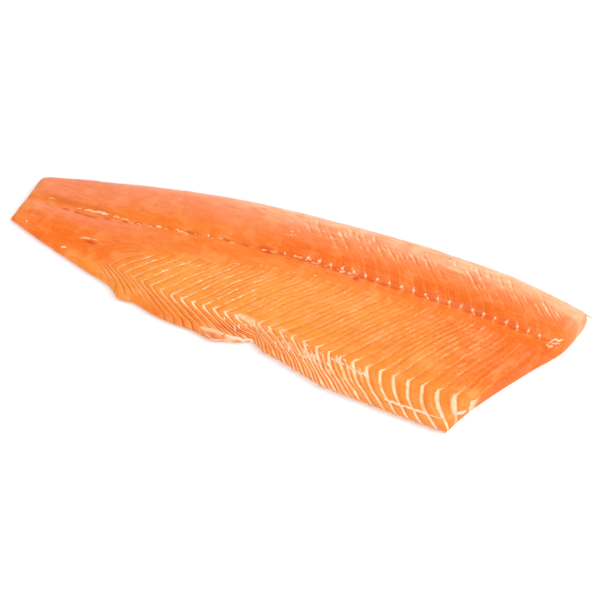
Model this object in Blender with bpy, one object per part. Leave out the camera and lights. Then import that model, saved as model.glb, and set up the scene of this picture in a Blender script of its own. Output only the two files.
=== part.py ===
"""Raw salmon fillet: one side of the fish, cut off the backbone and skinned, lying flat.

+X runs to the head end, +Y to the back (the thick loin), +Z up. The origin is the middle
of the footprint, on the surface the fillet lies on. Plan sizes below are in millimetres.
"""
import bmesh
import bpy
import numpy as np

MM = 0.001

# Stations along the fillet, tail to head, and the lines that run along it at each station
STATIONS = (-290, -230, -160, -90, -10, 70, 150, 240)
BACK_EDGE = (33, 52, 69.5, 82, 90.5, 94.5, 93, 79)
PIN_LINE = (-2, -1, 9, 19.5, 28, 31, 33, 30)
STRIP_EDGE = (-11, -17, -17, -2, 14, 23, 28, 26)
CHEVRON_LINE = (-16, -29, -42, -49, -47, -51, -49, -36)
BELLY_EDGE = (-25, -42, -59, -74, -68.5, -82, -82, -66)

# Thickness on the same lines
LOIN_HEIGHT = (9, 13, 19, 24, 27, 29, 30, 27)
PIN_HEIGHT = (7, 10, 14, 17.5, 19.5, 20.5, 20.5, 19)
STRIP_HEIGHT = (7, 10, 14, 17.5, 19, 20, 20, 18.5)
RIB_HEIGHT = (6.5, 9, 12, 15, 17, 18, 18, 16)
CHEVRON_HEIGHT = (6, 7, 8.5, 10, 12, 13, 13, 12)
BELLY_HEIGHT = (5, 5, 5.5, 6, 8, 9, 9, 9)

# Local changes of the belly edge: middle, half length, and how far it moves outwards
BELLY_LEDGE = (-143, 10, 6.0)
BELLY_FLAP = (-47, 16, 5.0)
BELLY_NOTCH = (-15, 8, -6.0)

# The two knife cuts, as points (across, along) from the belly to the back
HEAD_CUT = ((-90, 167), (-62, 175), (-30, 188.5), (15, 211.5), (44, 227), (68, 232.5), (95, 237))
TAIL_CUT = ((-45, -284), (0, -284), (35, -288))

# The soft top edge of a cut sinks by this share over this length; at the head end the firm
# loin sinks by only a share of that
CUT_SINK = 0.30
CUT_SOFT_LENGTH = 9.0
LOIN_SINK_SHARE = 0.25

# Muscle flakes, counted along the pin line: about 11 mm each, shorter at the head end
FLAKE_COUNTS = (-35, 0, 10, 28.5)
FLAKE_STATIONS = (-350, 26, 136, 320)

# How far a flake boundary runs back towards the tail from the pin line to the chevron line,
# and the share of it reached at the top of the ribs
CHEVRON_SWEEP = (8, 20, 35, 48, 52, 53, 47, 14)
TURN_SHARE = (0.5, 0.5, 0.45, 0.30, 0.08, 0.0, 0.0, 0.0)

# How far it runs forward again from the chevron line to the belly edge, and the share of that
# reached half way to the fold: straight near the tail, late near the head
BELLY_SWEEP = (10, 20, 34, 46, 44, 40, 33, 24)
ARM_SHARE = (0.5, 0.5, 0.5, 0.5, 0.42, 0.32, 0.2, 0.2)

# On the loin it runs back to the crown and on to the back edge
CROWN_SWEEP = 32
BACK_SWEEP = 44

# Columns between the named lines, with the share of its sweep that a boundary has reached there:
# of the crown's on the loin, of the chevron line's on the ribs, of the belly's on the side.
# Where there are two shares, the second is multiplied by the turn or arm share and added
LOIN_COURSE = ((3.5, 0.66), (4, 0.27))
RIBS_TOP = 7.1
RIBS_MIDDLE = 8
RIBS_MIDDLE_SHARES = (0.43, 0.74)
CHEVRON_SHARES = (0.95, 0.07)
AFTER_VERTEX = (9.2, 0.18)
ARM_MIDDLE = 9.5
FOLD_SHARES = (0.33, 1.15)

# Depth of the groove where two flakes meet, on the belly side and on the loin; it closes at
# this share of the half flake
GROOVE_DEPTH = 0.8
LOIN_GROOVE_DEPTH = 0.5
GROOVE_HALF_WIDTH = 0.67

# Columns and stations between which the grooves deepen, and columns where the loin's end
GROOVE_COLUMNS = (7, 8)
GROOVE_STATIONS = (-190, -130)
LOIN_GROOVE_STATIONS = (-10, 50)
LOIN_GROOVE_COLUMNS = (2.2, 2.8)
LOIN_GROOVE_END = (4.8, 4.2)

# Across the loin, from its edge (0) to the pin line (1): where the section turns over the
# shoulder, is highest, and starts down to the pin line, with the heights there
SHOULDER = (0.13, 0.80)
CROWN_AT = 0.36
LOIN_FOOT = (0.76, 0.93)

# The widest place of an edge lies at this share of the height; the edge is undercut by a share
WIDEST_AT = 0.36
BACK_UNDERCUT = 0.25
BELLY_UNDERCUT = 0.20
BELLY_ROUND = 0.45

# The backbone strip's bead: the share of the strip's width at which it lies, how far it stands
# off towards the belly, and how high
BEAD_AT = 0.2
BEAD_SIDE = 2.0
BEAD_RISE = 0.3

# How finely the solid is divided: rows in each flake, and columns between guide lines. A row
# nearer to a cut than this share of a row's step is moved onto the cut
ROWS_PER_FLAKE = 3
COLUMNS_BETWEEN_GUIDES = (1, 2, 2, 3, 3, 1, 2, 3, 3, 3, 1, 1)
SNAP_SHARE = 0.3
HALVINGS = 40
SAME_POINT = 0.01
SHARP_ANGLE = 50

# Middle of the footprint, measured from the point the plan sizes are taken from
MIDDLE = (-26.63, 6.25)

FLESH_COLOUR = (0.93, 0.24, 0.07, 1.0)
FLESH_ROUGHNESS = 0.35

# Columns of the lines that run along the fillet
LOIN_CROWN = 3
PIN = 5
CHEVRON = 9
VERTEX = 9.1
FOLD = 10
BELLY_RIM = 12


def follow(knots, values, at):
    """Smooth curve through values at the knots, with no overshoot between them."""
    knots = np.asarray(knots, float)
    values = np.asarray(values, float)
    at = np.asarray(at, float)
    if values.ndim == 1:
        values = np.repeat(values[:, None], at.size, axis=1)
    gap = np.diff(knots)[:, None]
    rise = np.diff(values, axis=0) / gap
    slope = np.zeros_like(values)
    slope[0] = rise[0]
    slope[-1] = rise[-1]
    product = rise[:-1] * rise[1:]
    total = np.where(product > 0, rise[:-1] + rise[1:], 1.0)
    slope[1:-1] = np.where(product > 0, 2 * product / total, 0.0)
    flat = at.ravel()
    i = np.clip(np.searchsorted(knots, flat, side="right") - 1, 0, len(knots) - 2)
    n = np.arange(flat.size)
    h = gap[i, 0]
    t = (flat - knots[i]) / h
    low, high = values[i, n], values[i + 1, n]
    out = (
        low * (1 + 2 * t) * (1 - t) ** 2
        + high * t * t * (3 - 2 * t)
        + h * (slope[i, n] * t * (1 - t) ** 2 - slope[i + 1, n] * t * t * (1 - t))
    )
    return out.reshape(at.shape)


def along(values, x):
    return follow(STATIONS, values, np.clip(x, STATIONS[0], STATIONS[-1]))


def bump(x, middle, half_length, height):
    return height * np.exp(-(((x - middle) / half_length) ** 2))


def between(value, start, end):
    """0 before start, 1 after end and straight between them; start may be the larger."""
    return np.clip((value - start) / (end - start), 0, 1)


def belly_edge(x):
    edge = along(BELLY_EDGE, x)
    for middle, half_length, outwards in (BELLY_LEDGE, BELLY_FLAP, BELLY_NOTCH):
        edge = edge - bump(x, middle, half_length, outwards)
    return edge


def section_guides(x):
    """Across and up, for each guide line at the places x, from the back to the belly."""
    back, pin = along(BACK_EDGE, x), along(PIN_LINE, x)
    strip, chevron, belly = along(STRIP_EDGE, x), along(CHEVRON_LINE, x), belly_edge(x)
    loin_high, pin_high = along(LOIN_HEIGHT, x), along(PIN_HEIGHT, x)
    belly_high = along(BELLY_HEIGHT, x)
    loin = back - pin
    strip_high = along(STRIP_HEIGHT, x)
    across = (
        back - BACK_UNDERCUT * loin_high,
        back,
        back - SHOULDER[0] * loin,
        back - CROWN_AT * loin,
        back - LOIN_FOOT[0] * loin,
        pin,
        pin - BEAD_AT * (pin - strip) - BEAD_SIDE,
        strip - BEAD_SIDE,
        (strip + chevron) / 2,
        chevron,
        belly + BELLY_ROUND * belly_high,
        belly,
        belly + BELLY_UNDERCUT * belly_high,
    )
    up = (
        0 * x,
        WIDEST_AT * loin_high,
        SHOULDER[1] * loin_high,
        loin_high,
        LOIN_FOOT[1] * loin_high,
        pin_high,
        (pin_high + strip_high) / 2 + BEAD_RISE,
        strip_high,
        along(RIB_HEIGHT, x),
        along(CHEVRON_HEIGHT, x),
        belly_high,
        WIDEST_AT * belly_high,
        0 * x,
    )
    return np.array(across), np.array(up)


def sweep(s, v):
    """How far towards the head a flake boundary lies on column v, from its pin line point."""
    chevron, belly = along(CHEVRON_SWEEP, s), along(BELLY_SWEEP, s)
    turn, arm = along(TURN_SHARE, s), along(ARM_SHARE, s)
    course = (
        (0, 0 * s - BACK_SWEEP),
        (1, 0 * s - BACK_SWEEP),
        (LOIN_CROWN, 0 * s - CROWN_SWEEP),
        (LOIN_COURSE[0][0], 0 * s - LOIN_COURSE[0][1] * CROWN_SWEEP),
        (LOIN_COURSE[1][0], 0 * s - LOIN_COURSE[1][1] * CROWN_SWEEP),
        (PIN, 0 * s),
        (RIBS_TOP, -turn * chevron),
        (RIBS_MIDDLE, -(RIBS_MIDDLE_SHARES[0] + RIBS_MIDDLE_SHARES[1] * turn) * chevron),
        (CHEVRON, -(CHEVRON_SHARES[0] + CHEVRON_SHARES[1] * turn) * chevron),
        (VERTEX, -chevron),
        (AFTER_VERTEX[0], AFTER_VERTEX[1] * arm * belly - chevron),
        (ARM_MIDDLE, arm * belly - chevron),
        (FOLD, (FOLD_SHARES[0] + FOLD_SHARES[1] * arm) * belly - chevron),
        (BELLY_RIM, belly - chevron),
    )
    knots = [column for column, _ in course]
    lag = np.array([shift.ravel() for _, shift in course])
    return follow(knots, lag, v.ravel()).reshape(s.shape)


def place(flake, v):
    """The point on flake boundary number flake and column v, in plan millimetres."""
    s = follow(FLAKE_COUNTS, FLAKE_STATIONS, flake)
    x = s + sweep(s, v)
    across, up = section_guides(x.ravel())
    guides = np.arange(len(across))
    y = follow(guides, across, v.ravel()).reshape(s.shape)
    z = follow(guides, up, v.ravel()).reshape(s.shape)
    return x, y, z * edge_softness(v, x, y) - groove(flake, v, x)


def edge_softness(v, x, y):
    """Share of the height left near the knife cuts, where the flesh slumps."""
    at_head = between(cut_at(HEAD_CUT, y) - x, CUT_SOFT_LENGTH, 0)
    at_tail = between(x - cut_at(TAIL_CUT, y), CUT_SOFT_LENGTH, 0)
    below_pin_line = np.clip((v - PIN) / 2, LOIN_SINK_SHARE, 1)
    return 1 - CUT_SINK * (below_pin_line * at_head**2 + at_tail**2)


def groove(flake, v, x):
    """Depth of the shallow groove where two flakes meet."""
    from_boundary = 2 * np.abs(flake - np.round(flake))
    shape = np.clip(1 - from_boundary / GROOVE_HALF_WIDTH, 0, 1)
    belly = GROOVE_DEPTH * between(v, *GROOVE_COLUMNS) * between(x, *GROOVE_STATIONS)
    loin = between(v, *LOIN_GROOVE_COLUMNS) * between(v, *LOIN_GROOVE_END)
    loin = LOIN_GROOVE_DEPTH * loin * between(x, *LOIN_GROOVE_STATIONS)
    return shape * (belly + loin) * between(v, BELLY_RIM, BELLY_RIM - 1)


def cut_at(cut, y):
    knots = [point[0] for point in cut]
    places = [point[1] for point in cut]
    return follow(knots, places, np.clip(y, knots[0], knots[-1]))


def where_cut(cut, v):
    """The flake coordinate at which each column meets a knife cut."""
    low, high = 0 * v + FLAKE_COUNTS[0], 0 * v + FLAKE_COUNTS[-1]
    for _ in range(HALVINGS):
        middle = 0.5 * (low + high)
        x, y, _up = place(middle, v)
        beyond = x > cut_at(cut, y)
        high = np.where(beyond, middle, high)
        low = np.where(beyond, low, middle)
    return 0.5 * (low + high)


def columns():
    v = [0.0]
    for guide, count in enumerate(COLUMNS_BETWEEN_GUIDES):
        v += [guide + (k + 1) / count for k in range(count)]
    return np.array(v)


def cut_foot(bm, top):
    """Foot of a knife cut: below each point of its top edge, or the rim where that overhangs."""
    back, belly = top[0], top[-1]
    foot = [back]
    for point in top[1:-1]:
        if point.co.y >= back.co.y:
            foot.append(back)
        elif point.co.y <= belly.co.y:
            foot.append(belly)
        else:
            foot.append(bm.verts.new((point.co.x, point.co.y, 0.0)))
    return foot + [belly]


def make_fillet():
    v = columns()
    head, tail = where_cut(HEAD_CUT, v), where_cut(TAIL_CUT, v)
    step = 1 / ROWS_PER_FLAKE
    first, last = int(tail.min() // step), int(head.max() // step) + 1
    rows = np.arange(first, last + 1) * step
    flake = np.repeat(rows[:, None], v.size, axis=1)
    flake = np.where(flake < tail + SNAP_SHARE * step, tail, flake)
    flake = np.where(flake > head - SNAP_SHARE * step, head, flake)
    x, y, z = place(flake, np.broadcast_to(v, flake.shape))
    points = np.stack((x - MIDDLE[0], y - MIDDLE[1], z), axis=-1) * MM

    bm = bmesh.new()
    grid = [[bm.verts.new(p) for p in row] for row in points]
    for i in range(len(grid) - 1):
        for j in range(v.size - 1):
            bm.faces.new((grid[i][j], grid[i][j + 1], grid[i + 1][j + 1], grid[i + 1][j]))
    for end in (grid[0], grid[-1]):
        foot = cut_foot(bm, end)
        for j in range(v.size - 1):
            corners = list(dict.fromkeys((end[j], foot[j], foot[j + 1], end[j + 1])))
            if len(corners) > 2:
                bm.faces.new(corners)
    bmesh.ops.remove_doubles(bm, verts=bm.verts, dist=SAME_POINT * MM)
    bmesh.ops.holes_fill(bm, edges=[e for e in bm.edges if e.is_boundary], sides=0)
    bmesh.ops.recalc_face_normals(bm, faces=bm.faces)
    bmesh.ops.triangulate(bm, faces=bm.faces, quad_method="SHORT_EDGE")
    mesh = bpy.data.meshes.new("fillet")
    bm.to_mesh(mesh)
    bm.free()
    mesh.set_sharp_from_angle(angle=np.radians(SHARP_ANGLE))
    fillet = bpy.data.objects.new("fillet", mesh)
    bpy.context.collection.objects.link(fillet)
    return fillet


def raw_salmon():
    material = bpy.data.materials.new("raw_salmon")
    material.use_nodes = True
    surface = material.node_tree.nodes["Principled BSDF"]
    surface.inputs["Base Color"].default_value = FLESH_COLOUR
    surface.inputs["Roughness"].default_value = FLESH_ROUGHNESS
    surface.inputs["Metallic"].default_value = 0.0
    return material


for old in list(bpy.data.objects):
    bpy.data.objects.remove(old)
make_fillet().data.materials.append(raw_salmon())
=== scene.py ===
"""Looks of the raw salmon fillet: wet flesh with its fat lines, pin bones and trimmings.

The fillet's surface is one sheet in two coordinates. The flake number counts the muscle flakes
from tail to head, and the column runs from the back rim (0) over the loin, the pin-bone line (5)
and the ribs (7 to 9) to the belly rim (12). Plan sizes are millimetres from the measuring
point; the frame's origin is the middle of the footprint.
"""

import bmesh
import bpy
import numpy as np
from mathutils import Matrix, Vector


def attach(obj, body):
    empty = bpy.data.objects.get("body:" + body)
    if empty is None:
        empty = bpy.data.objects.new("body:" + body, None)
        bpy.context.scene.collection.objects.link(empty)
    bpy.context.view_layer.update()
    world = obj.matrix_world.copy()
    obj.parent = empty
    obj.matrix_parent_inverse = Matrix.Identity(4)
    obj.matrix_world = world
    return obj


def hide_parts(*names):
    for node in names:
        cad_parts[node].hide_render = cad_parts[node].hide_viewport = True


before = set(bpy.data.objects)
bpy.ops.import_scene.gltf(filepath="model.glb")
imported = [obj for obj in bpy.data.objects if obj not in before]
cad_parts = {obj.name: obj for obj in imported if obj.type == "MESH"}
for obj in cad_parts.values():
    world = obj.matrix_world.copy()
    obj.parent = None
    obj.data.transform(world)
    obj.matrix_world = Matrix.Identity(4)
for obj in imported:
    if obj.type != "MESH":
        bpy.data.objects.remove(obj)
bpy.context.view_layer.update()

MM = 0.001

# Stations along the fillet, tail to head, and the lines that run along it at each station
STATIONS = (-290, -230, -160, -90, -10, 70, 150, 240)
BACK_EDGE = (33, 52, 69.5, 82, 90.5, 94.5, 93, 79)
PIN_LINE = (-2, -1, 9, 19.5, 28, 31, 33, 30)
STRIP_EDGE = (-11, -17, -17, -2, 14, 23, 28, 26)
CHEVRON_LINE = (-16, -29, -42, -49, -47, -51, -49, -36)
BELLY_EDGE = (-25, -42, -59, -74, -68.5, -82, -82, -66)

# Thickness on the same lines
LOIN_HEIGHT = (9, 13, 19, 24, 27, 29, 30, 27)
PIN_HEIGHT = (7, 10, 14, 17.5, 19.5, 20.5, 20.5, 19)
STRIP_HEIGHT = (7, 10, 14, 17.5, 19, 20, 20, 18.5)
RIB_HEIGHT = (6.5, 9, 12, 15, 17, 18, 18, 16)
CHEVRON_HEIGHT = (6, 7, 8.5, 10, 12, 13, 13, 12)
BELLY_HEIGHT = (5, 5, 5.5, 6, 8, 9, 9, 9)

# Local changes of the belly edge: middle, half length, and how far it moves outwards
BELLY_LEDGE = (-143, 10, 6.0)
BELLY_FLAP = (-47, 16, 5.0)
BELLY_NOTCH = (-15, 8, -6.0)

# The two knife cuts, as points (across, along) from the belly to the back
HEAD_CUT = ((-90, 167), (-62, 175), (-30, 188.5), (15, 211.5), (44, 227), (68, 232.5), (95, 237))
TAIL_CUT = ((-45, -284), (0, -284), (35, -288))
CUT_SINK = 0.30
CUT_SOFT_LENGTH = 9.0
CUT_EDGE_RADIUS = 2.2

# Muscle flakes, counted along the pin line: about 11 mm each, shorter at the head end
FLAKE_COUNTS = (-35, 0, 10, 28.5)
FLAKE_STATIONS = (-350, 26, 136, 320)
FLAKE_LENGTH = 11.0

# How far a flake boundary runs back towards the tail from the pin line to the chevron line,
# and the share of it reached at the top of the ribs
CHEVRON_SWEEP = (8, 20, 35, 48, 52, 53, 47, 14)
TURN_SHARE = (0.5, 0.5, 0.45, 0.30, 0.08, 0.0, 0.0, 0.0)

# How far it runs forward again from the chevron line to the belly edge, and the share of that
# reached half way to the fold: straight near the tail, late near the head
BELLY_SWEEP = (10, 20, 34, 46, 44, 40, 33, 24)
ARM_SHARE = (0.5, 0.5, 0.5, 0.5, 0.42, 0.32, 0.2, 0.2)

# On the loin it runs back to the crown and on to the back edge
CROWN_SWEEP = 32
BACK_SWEEP = 44

# Columns between the named lines, with the share of its sweep that a boundary has reached
# there: of the crown's on the loin, of the chevron line's on the ribs, of the belly's on the
# side. Where there are two shares, the second is multiplied by the turn or arm share and added
LOIN_COURSE = ((3.5, 0.66), (4, 0.27))
RIBS_TOP = 7.1
RIBS_MIDDLE = 8
RIBS_MIDDLE_SHARES = (0.43, 0.74)
CHEVRON_SHARES = (0.95, 0.07)
AFTER_VERTEX = (9.2, 0.18)
ARM_MIDDLE = 9.5
FOLD_SHARES = (0.33, 1.15)

# Middle of the footprint, measured from the point the plan sizes are taken from
MIDDLE = (-26.63, 6.25)

# Columns of the lines that run along the fillet
LOIN_CROWN = 3
PIN = 5
CHEVRON = 9
VERTEX = 9.1
FOLD = 10
BELLY_RIM = 12

# How finely the flesh is divided
ROWS_PER_FLAKE = 12
COLUMNS_BETWEEN_GUIDES = (3, 7, 12, 20, 13, 6, 8, 10, 14, 12, 6, 4)
EDGE_ROWS = 6
CUT_ROWS = 10
HALVINGS = 40

# The underside's columns, with how far across each lies
UNDERSIDE = (
    (3, 0.14),
    (4, 0.27),
    (5, 0.37),
    (6, 0.42),
    (7, 0.47),
    (8, 0.62),
    (9, 0.78),
    (10, 0.92),
)

# Relief of the flesh, in millimetres
RIB_GROOVE = 0.28
SIDE_GROOVE = 0.30
LOIN_GROOVE = 0.15
FLAKE_BULGE = 0.22
PIN_CREASE = 0.9
MEMBRANE_STEP = 0.35

# Colours, as they look in daylight
FLESH = "E8741A"
# Pink of the loin's back: partly the flesh's own tone, partly a painted sheen
LOIN_PINK_AND_SHEEN = "E97F50"
BELLY_GOLD = "EA9030"
BRIGHT_ORANGE = "EA6A04"
DEEP_ORANGE = "E36004"
# Burnt orange is the flesh's darker tone and brown patches, and also painted shade beside the fat
# lines and in the crease by the pin line
BURNT_ORANGE = "C9540A"
CUT_ORANGE = "E67608"
FAT_PEACH = "F5B070"
FAT_CREAM = "F9D4AC"
# The thin skin over the back, also used as a painted sheen along the whole back edge
MEMBRANE_AND_SHEEN = "F2A070"
THREAD_GOLD = "EE9648"
BONE_WHITE = "FADCC4"
BLOOD_RED = "C8400E"
SPECK_BROWN = "5A2A14"
FLOOR_WHITE = "F7F7F7"

# Small things on the flesh, in plan millimetres: a patch is given by its middle, its half
# length and its half width
SPECK = (107.7, 76.9)
RED_DENTS = (
    (-44, 24, 5, 2),
    (-38, -64, 12, 2.2),
    (-28, -62, 8, 2),
    (41, 27, 3, 2.4),
    (-196, -27, 6, 1.5),
)
BROWN_PATCHES = ((-245, 8, 22, 4), (-215, 11, 14, 3), (133, 69, 5, 2.5), (-44, -75, 12, 2.5))
PINK_PATCHES = ((-50, -73, 10, 3.5), (-34, -74, 14, 3))
PALE_PATCHES = (
    (-26, -49, 9, 2.2),
    (-14, -54, 6, 2),
    (40, -63, 9, 1.6),
    (86, -62.5, 5, 1.8),
    (74, -60, 4, 1.6),
    (-40, -71, 16, 1.8),
    (20, -62, 3, 2.4),
    (6, -48, 5, 1.4),
)

# Pin bone ends: the first and the last flake with one, their column, their radius, how deep
# they sit and how pale they are
FIRST_BONE, LAST_BONE = -3, 17
BONE_COLUMN = 4.72
BONE_RADIUS = 1.8
BONE_SUNK = 0.3
BONE_PALENESS = 0.5

# How many flecks and bits lie at drawn places, and how far lumps stand out on the threads
LOIN_FLECKS = 26
SIDE_BITS = 52
THREAD_LUMPS = 1.6
LUMP_SIZE = 2.0

# Where things lie on the sheet. Each row gives a strength, the columns and then the stations
# over which the thing comes on or goes off, each pair from where it is absent to where it is
# full. A strength that changes along the fish is two values and the stations they belong to.
AREAS = {
    "rib relief": (1, ((7.0, 7.8),), ((-205, -150),)),
    "side relief": ((0.55, 1, -40, 20), ((9.0, 9.5),), ((-195, -162),)),
    "loin relief": (0.5, ((2.3, 3.1), (4.75, 4.2)), ((-20, 60), (230, 150))),
    "smooth edge": (1, ((9.5, 9.95),), ((-85, -115),)),
    "side wander": (1, ((9.1, 9.5),), ((-60, -20), (110, 60))),
    "pin crease": (1, (), ((-275, -230),)),
    "skin step": (1, ((1.2, 2.0),), ((60, 85),)),
    "side rags": (1, ((9.9, 10.4),), ((-230, -180),)),
    "torn side": (0.45, (), ((-65, -40), (110, 60))),
    # Pinker loin back: the flesh's own tone and a painted sheen
    "loin pink and sheen": ((0.75, 1, 60, -120), ((4.5, 3.0),), ()),
    "tail strip": (0.9, ((7.2, 5.9), (4.5, 4.9)), ((-120, -190),)),
    "belly": ((1, 0.65, 20, 110), ((6.4, 8.0),), ((-190, -110), (215, 120))),
    "tail rim": (1, ((8.9, 9.5),), ((-240, -205), (-130, -160))),
    "head corner": (1, ((8.3, 9.0),), ((70, 120),)),
    "bright tail": (1, ((5.8, 7.4),), ((-130, -205),)),
    "bright head": (1, ((5.8, 7.4),), ((125, 195),)),
    "bright side": (0.45, ((9.0, 9.5),), ((-160, -110), (90, 40))),
    # Deep orange along the pin line: the flesh's deeper tone, partly painted shade of the groove
    "deep band": (0.65, ((3.5, 4.3), (5.6, 4.9)), ((-90, 0), (235, 170))),
    "below bones": (0.45, ((5.2, 5.7), (8.6, 7.2)), ((60, 140),)),
    # Painted shade between the pin bone ends
    "shade between bones": (1, (), ((-60, 20), (225, 190))),
    "back skin": (1, (), ((55, 90),)),
    # Painted sheen along the back edge, in the skin's colour
    "back edge sheen": (0.9, ((3.3, 2.2),), ((-260, -120),)),
    # Painted shade in the crease beside the pin line
    "crease shade": (1, (), ((-285, -240), (60, 10))),
    "crown line": (0.65, (), ((65, 85), (205, 170))),
    "shoulder": (0.31, ((3.7, 2.7),), ((-150, -30),)),
    "near side": (0.7, ((1.0, 2.2),), ()),
    "ribs": ((0.38, 0.88, 0, -60), ((7.1, 7.5), (9.2, 9.0)), ((-178, -150), (225, 150))),
    "chevrons": (1, ((8.85, 9.0), (9.5, 9.2)), ((-140, -90),)),
    "arms": ((0.52, 0.95, -45, 30), ((8.9, 9.05),), ((-180, -158),)),
    "feathers": (1, ((2.5, 2.9),), ((-50, -10), (238, 200))),
    "loin lines": (0.13, ((3.4, 3.9), (4.9, 4.5)), ((-10, 40),)),
    "strip lines": (0.22, ((5.0, 5.4), (7.0, 6.4)), ((-60, 30),)),
    "between ribs": (0.38, ((6.9, 7.3), (8.9, 8.2)), ((-120, -60), (205, 160))),
    "arm pairs": (1, ((9.1, 9.35),), ((-60, -35), (98, 86))),
    "doubling": ((0.45, 0.85, 5, 30), (), ()),
    # Painted shade beside the fat lines on the ribs and the side
    "rib shade": (0.2, ((6.9, 7.3), (9.1, 8.9)), ((-190, -150),)),
    "side shade": ((0.7, 0.3, -65, -30), ((9.0, 9.3),), ((-182, -162),)),
    "rib tones": (1, ((6.8, 7.6),), ((-200, -140),)),
    "loin tones": (0.7, ((4.9, 4.5),), ((-20, 40),)),
    "straight lines": (0.8, ((8.9, 9.2),), ()),
    "wide arms": (0.035, ((8.95, 9.1),), ()),
    "wide head arms": (0.022, ((9.05, 9.25),), ((30, 90),)),
    "narrow arms": (0.03, ((9.4, 9.9),), ((-30, -75),)),
    "hooks": (0.04, ((8.85, 9.05), (9.5, 9.2)), ((-125, -90), (0, -35))),
    "pin side": (0.45, ((6.5, 5.0),), ()),
}

# Seeded unevenness: how much either way, the size of its lumps in millimetres, and the seed
UNEVEN = {
    "crease line": (0.07, 8, 15),
    "crease depth": (0.5, 9, 3),
    "skin tears": (0.10, 16, 5),
    "fine tears": (0.05, 4, 6),
    "swell": (0.40, 28, 7),
    "dimples": (0.22, 7, 9),
    "rags": (1, 4.5, 11),
    "cut face": (0.5, 6, 21),
    "wander": (0.10, 24, 61),
    "waver": (0.035, 6, 62),
    "side wander": (0.08, 9, 63),
    "pink": (0.2, 22, 31),
    "gold": (0.3, 26, 33),
    "bright": (0.3, 20, 39),
    "deep": (0.4, 12, 35),
    "membrane": (0.3, 15, 51),
    "groove": (0.9, 6, 53),
    "pale patches": (1, 3.5, 55),
    "crown": (0.8, 9, 56),
    "shoulder": (0.35, 12, 57),
    "streaks": (0.75, 3, 58),
    "ribs": (0.5, 9, 37),
    "arms": (0.4, 6, 38),
    "feather ends": (0.5, 1.7, 47),
    "some feathers": (1.6, 8, 41),
    "other feathers": (1.6, 8, 42),
    "line_shade": (0.5, 10, 43),
    "between ribs": (0.5, 10, 45),
    "arm pairs": (0.5, 8, 46),
}

# The groove beside the pin line, and the thin skin over the back: their columns, and half the
# width of the groove as relief and as painted shade
CREASE_COLUMN = 4.86
CREASE_HALF_WIDTH = 0.13
CREASE_TONE_HALF_WIDTH = 0.12
MEMBRANE_COLUMN = 3.25

# A trench between two flakes has this half width, as a share of a flake
TRENCH_HALF_WIDTH = 0.09

# Deep orange painted as shade between the pin bones: its column and half width
BONE_GAP_COLUMN = 5.15
BONE_GAP_HALF_WIDTH = 0.32

# Half width of a fat line, as a share of a flake, and what it gains on the loin
LINE_WIDTH = 0.055
LOIN_LINE_GAIN = 0.05
PAIR_LINE_GAIN = 0.02

# Patterns of the flesh: size in millimetres, detail, and their scale along the fish
PATTERNS = {
    "sway": (4, 2, 1),
    "fibres": (2.6, 3, 0.16),
    "patches": (15, 2, 1),
    "grain": (2.6, 3, 1),
    "line width": (4, 1, 1),
    "line gaps": (5, 2, 1),
}

# Bands of tone beside the flake boundaries: how many to a flake and to a column, and their mean
BAND_SCALE = (5, 0.7, 1)
BAND_LEVEL = 0.48

# The flake number wavers by a fraction of a millimetre
NUMBER_SUMS = (
    ("waver", "MULTIPLY_ADD", "sway", 0.36, -0.18),
    ("ragged waver", "MULTIPLY", "waver", "ragged"),
    ("number", "ADD", "flake", "ragged waver"),
)

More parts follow.
